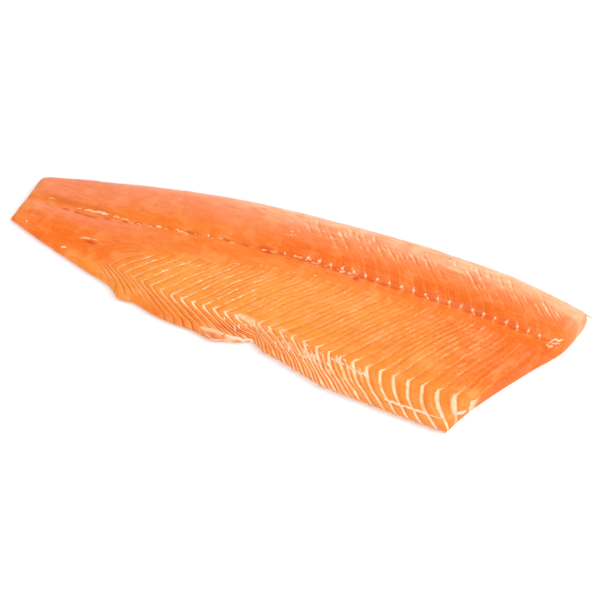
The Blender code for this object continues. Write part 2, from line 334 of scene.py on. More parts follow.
# The sums behind the flesh's colours: name, kind, and what each works on. A fade runs from 0 to 1
# between its last two values. Fat lines lie on whole flake numbers; on their head side, where the
# next flake's edge steps down, shade is painted in dark, and thinner lines lie on the halves with
# painted shade beside them too.
FLESH_SUMS = (
    ("band swing", "SUBTRACT", "band noise", BAND_LEVEL),
    ("bands", "MULTIPLY_ADD", "band swing", "banded", BAND_LEVEL),
    # The thin skin over the back and the painted sheen along the back edge
    ("skin and sheen share", "MULTIPLY", "membrane", 0.65),
    ("knife marks", "FADE", "bands", 0.38, 0.58),
    ("knifed", "MULTIPLY_ADD", "knife marks", 0.45, 0.42),
    ("cut share", "MULTIPLY", "cut", "knifed"),
    # Brown patches, and painted shade in the crease by the pin line
    ("dark share", "MULTIPLY", "dark", 0.8),
    ("after", "FRACT", "number"),
    ("before", "SUBTRACT", 1.0, "after"),
    ("apart", "MINIMUM", "after", "before"),
    ("past half", "SUBTRACT", "after", 0.5),
    ("from half", "ABSOLUTE", "past half"),
    ("width swing", "MULTIPLY_ADD", "ragged", 2.0, 0.4),
    ("width noise", "SUBTRACT", "line width", 0.5),
    ("width share", "MULTIPLY_ADD", "width noise", "width swing", 1.0),
    ("width", "MULTIPLY", "fat_width", "width share"),
    ("inner width", "MULTIPLY", "width", 0.6),
    ("outer width", "MULTIPLY", "width", 1.4),
    # Painted shade on the head side of each fat line
    ("edge width", "MULTIPLY", "width", 1.6),
    ("edge on", "FADE", "after", "inner width", "edge width"),
    ("edge off", "FADE", "after", 0.55, 0.18),
    ("edge", "MULTIPLY", "edge on", "edge off"),
    ("shadow beside line", "MULTIPLY", "edge", "line_shade"),
    # Painted shade on the head side of each thin half line
    ("half on", "FADE", "after", 0.52, 0.58),
    ("half off", "FADE", "after", 0.78, 0.62),
    ("half band", "MULTIPLY", "half on", "half off"),
    ("half strength", "MULTIPLY", "fat_between", 0.5),
    ("shade beside half line", "MULTIPLY", "half band", "half strength"),
    ("gap noise", "FADE", "line gaps", 0.60, 0.42),
    ("gaps", "MULTIPLY", "gap noise", "ragged"),
    ("missing", "MULTIPLY", "gaps", 0.65),
    ("left", "SUBTRACT", 1.0, "missing"),
    ("line", "FADE", "apart", "outer width", "inner width"),
    ("fat left", "MULTIPLY", "fat", "left"),
    ("fat line", "MULTIPLY", "line", "fat left"),
    ("half line", "FADE", "from half", 0.11, 0.05),
    ("thin left", "MULTIPLY", "fat_between", "left"),
    ("thin line", "MULTIPLY", "half line", "thin left"),
    ("speck", "FADE", "speck distance", 1.1 * MM, 0.6 * MM),
    ("grain height", "MULTIPLY", "grain", 0.4),
    ("fine height", "MULTIPLY_ADD", "fibres", 0.5, "grain height"),
    ("both lines", "ADD", "fat line", "thin line"),
    ("height", "MULTIPLY_ADD", "both lines", 0.5, "fine height"),
    ("cut gloss", "MULTIPLY_ADD", "cut", 0.3, 0.25),
    ("gloss", "MULTIPLY_ADD", "grain", 0.30, "cut gloss"),
)

# Coats of colour over the plain flesh, then shades where a pattern is over a level, or under it
# where the strength is below 0, and the coats over those
# The pink and skin coats carry a painted sheen over the back; the deep coat is partly painted shade
# of the groove
FIRST_COATS = (
    ("pink", LOIN_PINK_AND_SHEEN),
    ("gold", BELLY_GOLD),
    ("bright", BRIGHT_ORANGE),
    ("deep", DEEP_ORANGE),
    ("skin and sheen share", MEMBRANE_AND_SHEEN),
)
SHADES = (
    ("fibres", 1.2, 0.53, BURNT_ORANGE),
    ("bands", 1.4, 0.50, BURNT_ORANGE),
    ("grain", 0.9, 0.55, BURNT_ORANGE),
    ("patches", -1.1, 0.50, FAT_PEACH),
    ("bands", -1.4, 0.46, FAT_PEACH),
    ("grain", -0.7, 0.43, FAT_PEACH),
    ("fibres", -1.0, 0.46, FAT_PEACH),
)
# The two shades beside the lines are painted shade, in burnt orange
UPPER_COATS = (
    ("cut share", CUT_ORANGE),
    ("dark share", BURNT_ORANGE),
    ("red", BLOOD_RED),
    ("shadow beside line", BURNT_ORANGE),
    ("shade beside half line", BURNT_ORANGE),
)
LAST_COATS = (("pale", FAT_CREAM), ("speck", SPECK_BROWN))

# How the moist surface takes light
WET_SURFACE = {
    "IOR": 1.36,
    "Specular IOR Level": 0.35,
    "Subsurface Weight": 0.2,
    "Subsurface Radius": (1.0, 0.35, 0.15),
    "Subsurface Scale": 0.0015,
    "Coat Weight": 0.12,
    "Coat Roughness": 0.18,
}
FAT_SURFACE = {
    "Roughness": 0.4,
    "Subsurface Weight": 0.3,
    "Subsurface Radius": (1.0, 0.5, 0.3),
    "Subsurface Scale": 0.001,
}

# The camera's view in degrees, its distance in metres, and its lens in millimetres
CAMERA_AZIMUTH, CAMERA_ELEVATION = 26, 47
CAMERA_DISTANCE = 1.24
LENS, SENSOR = 85, 36

# Lamps: place, width and watts; then the strength of the white sky and half the floor's width
LAMPS = {"window": ((1.1, 0.9, 1.3), 1.2, 20), "fill": ((0.1, -1.6, 1.0), 1.6, 12)}
SKY_STRENGTH = 0.8
FLOOR_HALF_WIDTH = 4.0


# Shape of the fillet


def follow(knots, values, at):
    """Smooth curve through values at the knots, with no overshoot between them."""
    knots = np.asarray(knots, float)
    values = np.asarray(values, float)
    at = np.asarray(at, float)
    if values.ndim == 1:
        values = np.repeat(values[:, None], at.size, axis=1)
    gap = np.diff(knots)[:, None]
    rise = np.diff(values, axis=0) / gap
    slope = np.zeros_like(values)
    slope[0] = rise[0]
    slope[-1] = rise[-1]
    product = rise[:-1] * rise[1:]
    total = np.where(product > 0, rise[:-1] + rise[1:], 1.0)
    slope[1:-1] = np.where(product > 0, 2 * product / total, 0.0)
    flat = at.ravel()
    i = np.clip(np.searchsorted(knots, flat, side="right") - 1, 0, len(knots) - 2)
    n = np.arange(flat.size)
    h = gap[i, 0]
    t = (flat - knots[i]) / h
    low, high = values[i, n], values[i + 1, n]
    out = (
        low * (1 + 2 * t) * (1 - t) ** 2
        + high * t * t * (3 - 2 * t)
        + h * (slope[i, n] * t * (1 - t) ** 2 - slope[i + 1, n] * t * t * (1 - t))
    )
    return out.reshape(at.shape)


def along(values, x):
    return follow(STATIONS, values, np.clip(x, STATIONS[0], STATIONS[-1]))


def bump(x, middle, half_length, height):
    return height * np.exp(-(((x - middle) / half_length) ** 2))


def ramp(value, start, end):
    """0 before start, 1 after end, smooth between them; start may be the larger."""
    t = np.clip((value - start) / (end - start), 0, 1)
    return t * t * (3 - 2 * t)


def lumps(x, y, size, seed):
    """Smooth seeded unevenness from -1 to 1, with lumps of the given size."""
    draws = np.random.default_rng(seed).uniform(-1, 1, (64, 64))
    u, w = x / size, y / size
    i, j = np.floor(u).astype(int), np.floor(w).astype(int)
    a, b = ramp(u - i, 0, 1), ramp(w - j, 0, 1)
    i, j = i % 64, j % 64
    after_i, after_j = (i + 1) % 64, (j + 1) % 64
    near = (1 - a) * draws[i, j] + a * draws[after_i, j]
    far = (1 - a) * draws[i, after_j] + a * draws[after_i, after_j]
    return (1 - b) * near + b * far


def belly_edge(x):
    edge = along(BELLY_EDGE, x)
    for middle, half_length, outwards in (BELLY_LEDGE, BELLY_FLAP, BELLY_NOTCH):
        edge = edge - bump(x, middle, half_length, outwards)
    return edge


def section_guides(x):
    """Across and up, for each guide line at the places x, from the back to the belly."""
    back, pin = along(BACK_EDGE, x), along(PIN_LINE, x)
    strip, chevron, belly = along(STRIP_EDGE, x), along(CHEVRON_LINE, x), belly_edge(x)
    loin_high, pin_high = along(LOIN_HEIGHT, x), along(PIN_HEIGHT, x)
    belly_high = along(BELLY_HEIGHT, x)
    loin = back - pin
    across = (
        back - 0.25 * loin_high,
        back,
        back - 0.13 * loin,
        back - 0.36 * loin,
        pin + 0.24 * loin,
        pin,
        0.8 * pin + 0.2 * strip - 2.0,
        strip - 2.0,
        0.5 * (strip + chevron),
        chevron,
        belly + 0.45 * belly_high,
        belly,
        belly + 0.20 * belly_high,
    )
    up = (
        0 * x,
        0.36 * loin_high,
        0.80 * loin_high,
        loin_high,
        0.93 * loin_high,
        pin_high,
        0.5 * (pin_high + along(STRIP_HEIGHT, x)) + 0.3,
        along(STRIP_HEIGHT, x),
        along(RIB_HEIGHT, x),
        along(CHEVRON_HEIGHT, x),
        belly_high,
        0.36 * belly_high,
        0 * x,
    )
    return np.array(across), np.array(up)


def sweep(s, v):
    """How far towards the head a flake boundary lies on column v, from its pin line point."""
    chevron, belly = along(CHEVRON_SWEEP, s), along(BELLY_SWEEP, s)
    turn, arm = along(TURN_SHARE, s), along(ARM_SHARE, s)
    course = (
        (0, 0 * s - BACK_SWEEP),
        (1, 0 * s - BACK_SWEEP),
        (LOIN_CROWN, 0 * s - CROWN_SWEEP),
        *((column, 0 * s - share * CROWN_SWEEP) for column, share in LOIN_COURSE),
        (PIN, 0 * s),
        (RIBS_TOP, -turn * chevron),
        (RIBS_MIDDLE, -(RIBS_MIDDLE_SHARES[0] + RIBS_MIDDLE_SHARES[1] * turn) * chevron),
        (CHEVRON, -(CHEVRON_SHARES[0] + CHEVRON_SHARES[1] * turn) * chevron),
        (VERTEX, -chevron),
        (AFTER_VERTEX[0], AFTER_VERTEX[1] * arm * belly - chevron),
        (ARM_MIDDLE, arm * belly - chevron),
        (FOLD, (FOLD_SHARES[0] + FOLD_SHARES[1] * arm) * belly - chevron),
        (BELLY_RIM, belly - chevron),
    )
    knots = [column for column, _ in course]
    lag = np.array([shift.ravel() for _, shift in course])
    return follow(knots, lag, v.ravel()).reshape(s.shape)


def cut_at(cut, y):
    knots = [point[0] for point in cut]
    places = [point[1] for point in cut]
    return follow(knots, places, np.clip(y, knots[0], knots[-1]))


def place(flake, v):
    """The point on flake boundary number flake and column v, in plan millimetres."""
    flake, v = np.broadcast_arrays(np.asarray(flake, float), np.asarray(v, float))
    s = follow(FLAKE_COUNTS, FLAKE_STATIONS, flake)
    x = s + sweep(s, v)
    across, up = section_guides(x.ravel())
    guides = np.arange(len(across))
    y = follow(guides, across, v.ravel()).reshape(s.shape)
    z = follow(guides, up, v.ravel()).reshape(s.shape)
    return x, y, z * edge_softness(v, x, y)


def edge_softness(v, x, y):
    """Share of the height left near the knife cuts, where the flesh slumps and rounds over."""
    from_head, from_tail = cut_at(HEAD_CUT, y) - x, x - cut_at(TAIL_CUT, y)
    below_pin_line = np.clip((v - PIN) / 2, 0.25, 1)
    sink = below_pin_line * (1 - np.clip(from_head / CUT_SOFT_LENGTH, 0, 1)) ** 2
    sink = sink + (1 - np.clip(from_tail / CUT_SOFT_LENGTH, 0, 1)) ** 2
    return 1 - CUT_SINK * sink


def first_beyond(low, high, beyond):
    """Where beyond() turns true between low and high, found by halving."""
    for _ in range(HALVINGS):
        middle = 0.5 * (low + high)
        past = beyond(middle)
        high = np.where(past, middle, high)
        low = np.where(past, low, middle)
    return 0.5 * (low + high)


def where_cut(cut, v):
    """The flake coordinate at which each column meets a knife cut."""

    def beyond(flake):
        x, y, _up = place(flake, v)
        return x > cut_at(cut, y)

    return first_beyond(0 * v + FLAKE_COUNTS[0], 0 * v + FLAKE_COUNTS[-1], beyond)


def flake_and_column(x, y):
    """The flake coordinate and the column of places given in plan millimetres."""
    x, y = np.asarray(x, float), np.asarray(y, float)
    across, _up = section_guides(x)
    guides = np.arange(len(across))
    v = first_beyond(0 * x + 1, 0 * x + BELLY_RIM - 1, lambda v: follow(guides, across, v) < y)
    first, last = 0 * x + FLAKE_COUNTS[0], 0 * x + FLAKE_COUNTS[-1]
    return first_beyond(first, last, lambda flake: place(flake, v)[0] > x), v


def columns():
    v = [0.0]
    for guide, count in enumerate(COLUMNS_BETWEEN_GUIDES):
        v += [guide + (k + 1) / count for k in range(count)]
    return np.array(v)


def area(name, v, x):
    """How far inside a named area a place lies, from 0 to the area's strength."""
    strength, over_columns, over_stations = AREAS[name]
    if isinstance(strength, tuple):
        first, last, start, end = strength
        strength = first + (last - first) * ramp(x, start, end)
    share = strength + 0 * x
    for start, end in over_columns:
        share = share * ramp(v, start, end)
    for start, end in over_stations:
        share = share * ramp(x, start, end)
    return share


def uneven(name, x, y):
    amount, size, seed = UNEVEN[name]
    return amount * lumps(x, y, size, seed)


def crease_column(x):
    """The column in which the groove beside the pin line lies."""
    return CREASE_COLUMN + uneven("crease line", x, 0 * x)


def membrane_end(x, y):
    """The column at which the thin skin over the back ends, torn a little."""
    return MEMBRANE_COLUMN + uneven("skin tears", x, y) + uneven("fine tears", x, y)


def flake_lines(v, x):
    """How strongly the flake boundaries show as relief at a place, 0 to 1."""
    side = area("side relief", v, x) * (1 - 0.85 * area("smooth edge", v, x))
    belly = np.where(v > CHEVRON, side, area("rib relief", v, x))
    return np.maximum(belly, area("loin relief", v, x))


def shown_flake(flake, v, x, y):
    """The flake coordinate for the fat lines: they run straight on where the edge bulges, and
    wander by up to a millimetre and a half."""
    chevron = along(CHEVRON_LINE, x)
    bulged = (chevron - belly_edge(x)) / (chevron - along(BELLY_EDGE, x))
    level = v + (np.clip(v, CHEVRON, FOLD) - CHEVRON) * (bulged - 1)
    s = follow(FLAKE_COUNTS, FLAKE_STATIONS, flake)
    straight = flake - (sweep(s, np.clip(level, 0, BELLY_RIM)) - sweep(s, v)) / FLAKE_LENGTH
    wander = uneven("wander", x, y) + uneven("waver", x, y)
    return straight + wander + area("side wander", v, x) * uneven("side wander", x, y)


def relief(flake, v, x, y):
    """Fine height of the flesh over the plain form, in millimetres."""
    flake = shown_flake(flake, v, x, y)
    apart = np.abs(flake - np.round(flake))
    trench = np.exp(-((apart / TRENCH_HALF_WIDTH) ** 2))
    depth = RIB_GROOVE + (SIDE_GROOVE - RIB_GROOVE) * ramp(v, 8.9, 9.3)
    depth = np.where(v < PIN, LOIN_GROOVE, depth)
    bulge = FLAKE_BULGE * (1 - (2 * (0.5 - apart)) ** 2)
    height = flake_lines(v, x) * (bulge - depth * trench)
    crease = np.exp(-(((v - crease_column(x)) / CREASE_HALF_WIDTH) ** 2)) * area("pin crease", v, x)
    height = height - PIN_CREASE * crease * (0.75 + uneven("crease depth", x, y))
    height = height + MEMBRANE_STEP * under_skin(v, x, y) * area("skin step", v, x)
    height = height + uneven("swell", x, y) + uneven("dimples", x, y)
    torn = 0.15 + area("torn side", v, x)
    height = height + torn * area("side rags", v, x) * uneven("rags", x, y)
    return height * ramp(v, 0, 1) * ramp(v, BELLY_RIM, 11.2)


def under_skin(v, x, y):
    """1 where the thin skin over the back lies, 0 below its torn edge."""
    torn_edge = membrane_end(x, y)
    return ramp(v, torn_edge + 0.03, torn_edge - 0.07)


# The flesh


def surface(flake, v):
    """Points of the finished flesh, with its relief, and its outward directions."""
    flake, v = np.broadcast_arrays(np.asarray(flake, float), np.asarray(v, float))
    step = 0.02
    point = np.stack(place(flake, v), axis=-1)
    ahead = np.stack(place(flake + step, v), axis=-1) - point
    beside = np.stack(place(flake, np.clip(v + step, 0, BELLY_RIM)), axis=-1)
    beside = beside - np.stack(place(flake, np.clip(v - step, 0, BELLY_RIM)), axis=-1)
    out = np.cross(beside, ahead)
    out = out / np.maximum(np.linalg.norm(out, axis=-1, keepdims=True), 1e-9)
    height = relief(flake, v, point[..., 0], point[..., 1])
    point = point + out * height[..., None]
    point[..., 2] = np.maximum(point[..., 2], 0)
    return point, out


def to_frame(point):
    """Plan millimetres to the frame's metres."""
    return (np.asarray(point) - (MIDDLE[0], MIDDLE[1], 0)) * MM


def flesh_rows(v):
    """Flake coordinate of every row and column of the top sheet, edge rows included."""
    head, tail = where_cut(HEAD_CUT, v), where_cut(TAIL_CUT, v)
    band = 1.2 * CUT_EDGE_RADIUS / FLAKE_LENGTH
    step = 1 / ROWS_PER_FLAKE
    first, last = int(tail.min() // step), int(head.max() // step) + 1
    rows = np.arange(first, last + 1) * step
    inner = np.clip(np.repeat(rows[:, None], v.size, axis=1), tail + band, head - band)
    share = (1 - np.cos(np.linspace(0, np.pi / 2, EDGE_ROWS + 1)))[:-1, None]
    tail_rows = tail + band * share
    head_rows = (head - band * share)[::-1]
    return np.vstack((tail_rows, inner, head_rows))


def round_over(points):
    """Rounds the top edge of both knife cuts to a small radius."""
    x, y, z = points[..., 0], points[..., 1], points[..., 2]
    inside = np.minimum(cut_at(HEAD_CUT, y) - x, x - cut_at(TAIL_CUT, y))
    radius = np.minimum(CUT_EDGE_RADIUS, 0.45 * z + 0.01)
    over = np.clip(1 - inside / radius, 0, 1)
    points[..., 2] = z - radius * (1 - np.sqrt(1 - over**2))
    return points


def cut_face(edge, outwards):
    """Rows of points from the top edge of a knife cut down to the surface it lies on."""
    share = np.linspace(0, 1, CUT_ROWS + 1)[1:, None, None]
    foot = edge * (1, 1, 0)
    overhang = (foot[:, 1] > edge[0, 1]) | (foot[:, 1] < edge[-1, 1])
    rim = np.where(foot[:, 1:2] > 0, edge[0], edge[-1])
    foot = np.where(overhang[:, None], rim, foot)
    face = edge * (1 - share) + foot * share
    middle = np.sin(np.pi * share[..., 0]) * np.clip(edge[:, 2] / 20, 0, 1)
    swell = 0.7 + uneven("cut face", face[..., 1], 1.7 * face[..., 2])
    face[..., 0] += outwards * middle * swell
    return face, overhang


def same_points(ids, repeated):
    """Vertex numbers of a grid in which a repeated point shares the one in the row before."""
    for i in range(1, len(ids)):
        ids[i] = np.where(repeated[i], ids[i - 1], ids[i])
    return ids


def sheet_faces(ids):
    """Faces of a grid of vertex numbers; where points meet, a face loses repeated corners."""
    corners = np.stack((ids[:-1, :-1], ids[:-1, 1:], ids[1:, 1:], ids[1:, :-1]), axis=-1)
    faces = [list(dict.fromkeys(quad)) for quad in corners.reshape(-1, 4).tolist()]
    return [face for face in faces if len(face) > 2]


def make_flesh(material):
    v = columns()
    flake = flesh_rows(v)
    top = round_over(surface(flake, np.broadcast_to(v, flake.shape))[0])
    rows, across = flake.shape
    repeated = np.zeros(flake.shape, bool)
    repeated[1:] = np.diff(flake, axis=0) == 0
    top_ids = same_points(np.arange(rows * across).reshape(rows, across), repeated)

    sheets, ids, count = [top], [top_ids], rows * across
    flakes, cuts = [flake], [0 * flake]
    for end, outwards in ((0, -1), (-1, 1)):
        face, overhang = cut_face(top[end], outwards)
        face_ids = count + np.arange(face[..., 0].size).reshape(CUT_ROWS, across)
        count += face_ids.size
        face_ids[:, 0], face_ids[:, -1] = top_ids[end, 0], top_ids[end, -1]
        rim = np.where(v < PIN, top_ids[end, 0], top_ids[end, -1])
        face_ids[-1] = np.where(overhang, rim, face_ids[-1])
        sheets.append(face)
        ids.append(np.vstack((top_ids[end : end + 1] if end == 0 else top_ids[-1:], face_ids)))
        flakes.append(np.repeat(flake[end][None], CUT_ROWS, axis=0))
        cuts.append(np.broadcast_to(0.55 + area("pin side", v, 0 * v), flakes[-1].shape))

    # The flat underside: each row runs straight from rim to rim
    inner = slice(EDGE_ROWS, rows - EDGE_ROWS)
    under_v = np.array([column for column, _ in UNDERSIDE])
    under_share = np.array([share for _, share in UNDERSIDE])[:, None]
    back_rim, belly_rim = top[inner, :1], top[inner, -1:]
    under = back_rim * (1 - under_share) + belly_rim * under_share
    under[..., 2] = 0
    under_ids = count + np.arange(under[..., 0].size).reshape(under.shape[:2])
    still = repeated[inner, 0] & repeated[inner, -1]
    under_ids = same_points(under_ids, np.repeat(still[:, None], under_v.size, axis=1))
    below = np.hstack((top_ids[inner, :1], under_ids, top_ids[inner, -1:]))
    station = follow(FLAKE_COUNTS, FLAKE_STATIONS, flake[inner, :1] + 0 * under_v)
    bend = sweep(station, under_v + 0 * station) - under[..., 0] + station
    under_flake = flake[inner, :1] - bend / FLAKE_LENGTH

    faces = [face for grid in ids + [below] for face in sheet_faces(grid)]
    top_v = np.broadcast_to(v, flake.shape)
    face_v = np.broadcast_to(v, flakes[1].shape)
    place_v = [top_v, face_v, face_v, under_v + 0 * under[..., 0]]
    flakes.append(under_flake)
    cuts.append(0 * under_flake)
    points = np.concatenate([sheet.reshape(-1, 3) for sheet in sheets + [under]])
    number, column, cut = (
        np.concatenate([part.ravel() for part in parts]) for parts in (flakes, place_v, cuts)
    )
    mesh = bpy.data.meshes.new("flesh")
    mesh.from_pydata(to_frame(points).tolist(), [], faces)
    x, y = points[:, 0], points[:, 1]
    fields = {"flake": shown_flake(number, column, x, y), "column": column, "cut": cut}
    fields.update(tones(number, column, x, y))
    for name, field in fields.items():
        mesh.attributes.new(name, "FLOAT", "POINT").data.foreach_set("value", field)

    bm = bmesh.new()
    bm.from_mesh(mesh)
    bmesh.ops.delete(bm, geom=[p for p in bm.verts if not p.link_faces], context="VERTS")
    bmesh.ops.holes_fill(bm, edges=[e for e in bm.edges if e.is_boundary], sides=0)
    large = [f for f in bm.faces if len(f.verts) > 4]
    bmesh.ops.triangulate(bm, faces=large, ngon_method="EAR_CLIP")
    bmesh.ops.recalc_face_normals(bm, faces=bm.faces)
    bm.to_mesh(mesh)
    bm.free()
    mesh.shade_smooth()
    mesh.set_sharp_from_angle(angle=np.radians(60))
    mesh.materials.append(material)
    flesh = bpy.data.objects.new("flesh", mesh)
    bpy.context.collection.objects.link(flesh)
    return flesh


def patches_at(places, x, y):
    """1 in the middle of each long patch (middle, middle, half length, half width), 0 away."""
    shares = [
        np.exp(-(((x - a) / half_length) ** 2) - ((y - b) / half_width) ** 2)
        for a, b, half_length, half_width in places
    ]
    return np.maximum.reduce(shares)


def tones(flake, v, x, y):
    """Where each colour of the flesh lies, as shares from 0 to 1, and the fat lines' width."""

    def at(name):
        return area(name, v, x)

    def lumpy(name, level=1):
        return level + uneven(name, x, y)

    # Pink: the loin's own tone with a painted sheen on its back, and the pink strip on the tail
    pink = np.maximum(at("loin pink and sheen"), at("tail strip")) + uneven("pink", x, y)
    rim, corner = at("tail rim"), at("head corner")
    gold = np.maximum.reduce((at("belly"), 0.75 * rim, 0.85 * corner)) * lumpy("gold")
    ends = np.maximum(at("bright tail"), at("bright head")) * (1 - 0.7 * rim) * (1 - 0.8 * corner)
    bright = np.maximum(ends, at("bright side")) * lumpy("bright")
    # Painted shade between the pin bone ends, in deep orange, a little of it red
    gaps = np.exp(-(((v - BONE_GAP_COLUMN) / BONE_GAP_HALF_WIDTH) ** 2)) * at("shade between bones")
    gaps = gaps * (0.5 - 0.5 * np.cos(2 * np.pi * flake))
    # Deep orange along and below the pin line: the flesh's deeper tone, partly painted groove
    # shade, with the painted shade between bones
    deep = np.maximum(at("deep band"), at("below bones")) * lumpy("deep") + gaps

    # The thin skin over the back of the head half, and a painted sheen along the whole back edge
    back_skin = under_skin(v, x, y) * at("back skin")
    membrane = np.maximum(back_skin, at("back edge sheen")) * lumpy("membrane", 0.8)
    torn = patches_at(PINK_PATCHES, x, y)
    membrane = np.maximum(membrane, 1.3 * torn)
    red = np.maximum(patches_at(RED_DENTS, x, y), 0.4 * gaps)
    # Painted shade in the crease beside the pin line; with the brown patches it makes the dark
    # share
    groove = np.exp(-(((v - crease_column(x)) / CREASE_TONE_HALF_WIDTH) ** 2)) * at("crease shade")
    groove = groove * (0.6 + uneven("groove", x, 0 * y))
    dark = np.maximum(0.7 * patches_at(BROWN_PATCHES, x, y), groove)
    crown = np.exp(-(((v - membrane_end(x, y)) / 0.04) ** 2)) * at("crown line")
    streaks = uneven("shoulder", x, y) + uneven("streaks", 0.35 * x, 1.4 * y)
    shoulder = at("shoulder") * (1 + streaks) * (0.3 + at("near side"))
    patches = patches_at(PALE_PATCHES, x, y) * lumpy("pale patches", 0.5)
    pale = np.maximum.reduce((crown * lumpy("crown", 0.5), patches, shoulder))

    smooth = at("smooth edge")
    feather_end = 3.8 + uneven("feather ends", np.round(2 * flake), 0 * x)
    feathers = at("feathers") * ramp(v, feather_end, 3.25)
    some = feathers * np.clip(lumpy("some feathers", 0.55), 0, 1)
    others = feathers * np.clip(lumpy("other feathers", 0.35), 0, 1)
    arms = at("arms") * (1 - smooth) * lumpy("arms")
    lines = (at("ribs") * lumpy("ribs"), at("chevrons"), arms, at("loin lines"), at("strip lines"))
    fat = np.maximum.reduce(lines + (0.85 * some,))
    pairs = at("arm pairs") * (at("doubling") + uneven("arm pairs", x, y))
    between = np.maximum.reduce((at("between ribs") * lumpy("between ribs"), 0.65 * others, pairs))
    # Painted shade beside the fat lines on the ribs and side, and beside the loin's feather lines
    line_shade = (at("rib shade") + at("side shade")) * (1 - 0.8 * smooth) * lumpy("line_shade") + 0.6 * some
    width = LINE_WIDTH + LOIN_LINE_GAIN * (v < PIN) + PAIR_LINE_GAIN * at("arm pairs")
    width = width + at("wide arms") + at("wide head arms") - at("narrow arms") + at("hooks")

    shares = {
        "pink": pink,
        "gold": gold,
        "bright": bright,
        "deep": deep,
        "membrane": membrane,
        "red": red,
        "dark": dark,
        "pale": pale,
        "fat": fat * (1 - torn),
        "fat_between": between * (1 - torn),
        "line_shade": line_shade * (1 - 0.6 * torn),
        "banded": np.maximum(at("rib tones"), at("loin tones")),
        "ragged": 1 - at("straight lines"),
    }
    fields = {name: np.clip(share, 0, 1) for name, share in shares.items()}
    fields["fat_width"] = width
    return fields


# Materials


def linear(colour):
    """A colour given as sRGB hex digits, as linear red, green, blue and alpha."""
    parts = [int(colour[i : i + 2], 16) / 255 for i in (0, 2, 4)]
    return [p / 12.92 if p <= 0.04045 else ((p + 0.055) / 1.055) ** 2.4 for p in parts] + [1]


def add(tree, kind, links=(), **settings):
    """Adds a node: links maps its inputs to other sockets or fixed values."""
    node = tree.nodes.new(kind)
    for name, value in settings.items():
        setattr(node, name, value)
    for socket, source in dict(links).items():
        if isinstance(source, bpy.types.NodeSocket):
            tree.links.new(source, node.inputs[socket])
        else:
            node.inputs[socket].default_value = source
    return node


def new_material(name):
    material = bpy.data.materials.new(name)
    material.use_nodes = True
    return material, material.node_tree, material.node_tree.nodes["Principled BSDF"]


def reckon(tree, value, rows):
    """Adds the sums in the rows to the named values that a material works with."""
    for name, operation, *sources in rows:
        sources = [value.get(source, source) for source in sources]
        if operation == "FADE":
            links = dict(zip(("Value", "From Min", "From Max"), sources))
            node = add(tree, "ShaderNodeMapRange", links, interpolation_type="SMOOTHSTEP")
        else:
            node = add(tree, "ShaderNodeMath", dict(enumerate(sources)), operation=operation)
        value[name] = node.outputs[0]


def wet_flesh():
    """Raw salmon flesh, knife-cut and moist: orange muscle in flakes, with pale fat between
    them. It lets light in a little way and shines softly where it is wet."""
    material, tree, skin = new_material("wet_salmon_flesh")
    names = ("flake", "column", "cut", "pink", "gold", "bright", "deep", "membrane", "red", "dark")
    names += ("fat", "fat_between", "fat_width", "line_shade", "banded", "ragged", "pale")
    value = {
        name: add(tree, "ShaderNodeAttribute", attribute_name=name).outputs["Fac"]
        for name in names
    }
    spot = add(tree, "ShaderNodeTexCoord").outputs["Object"]
    for name, (size, detail, lengthwise) in PATTERNS.items():
        where = add(tree, "ShaderNodeMapping", {"Vector": spot, "Scale": (lengthwise, 1, 1)})
        links = {"Vector": where.outputs[0], "Scale": 1 / (size * MM), "Detail": detail}
        value[name] = add(tree, "ShaderNodeTexNoise", links).outputs["Fac"]

    # Muscle fibres and bands of tone run beside the flake boundaries
    reckon(tree, value, NUMBER_SUMS)
    beside = add(tree, "ShaderNodeCombineXYZ", {"X": value["number"], "Y": value["column"]})
    links = {"Vector": beside.outputs[0], "Scale": BAND_SCALE}
    where = add(tree, "ShaderNodeMapping", links)
    links = {"Vector": where.outputs[0], "Scale": 1, "Detail": 2}
    value["band noise"] = add(tree, "ShaderNodeTexNoise", links).outputs["Fac"]

    # One dark speck lies on the loin
    off = add(tree, "ShaderNodeVectorMath", {0: spot, 1: speck_centre()}, operation="SUBTRACT")
    away = add(tree, "ShaderNodeVectorMath", {0: off.outputs[0]}, operation="LENGTH")
    value["speck distance"] = away.outputs["Value"]
    reckon(tree, value, FLESH_SUMS)

    # Painted light among these coats: sheen on the back, and shade in the crease, between the bones
    # and beside the fat lines
    coats = [(value[share], linear(shade)) for share, shade in FIRST_COATS]
    for pattern, strength, start, shade in SHADES:
        links = {0: value[pattern], 1: strength, 2: -strength * start}
        share = add(tree, "ShaderNodeMath", links, operation="MULTIPLY_ADD", use_clamp=True)
        coats.append((share.outputs[0], linear(shade)))
    coats += [(value[share], linear(shade)) for share, shade in UPPER_COATS]
    for line, thickness in (("thin line", "thin line"), ("fat line", "fat")):
        links = {0: value[thickness], 6: linear(FAT_PEACH), 7: linear(FAT_CREAM)}
        shade = add(tree, "ShaderNodeMix", links, data_type="RGBA")
        coats.append((value[line], shade.outputs[2]))
    coats += [(value[share], linear(shade)) for share, shade in LAST_COATS]
    colour = linear(FLESH)
    for share, shade in coats:
        node = add(tree, "ShaderNodeMix", {0: share, 6: colour, 7: shade}, data_type="RGBA")
        colour = node.outputs[2]

    links = {"Height": value["height"], "Distance": 0.6 * MM, "Strength": 0.7}
    bumps = add(tree, "ShaderNodeBump", links)
    tree.links.new(colour, skin.inputs["Base Color"])
    tree.links.new(value["gloss"], skin.inputs["Roughness"])
    tree.links.new(bumps.outputs["Normal"], skin.inputs["Normal"])
    for socket, amount in WET_SURFACE.items():
        skin.inputs[socket].default_value = amount
    return material


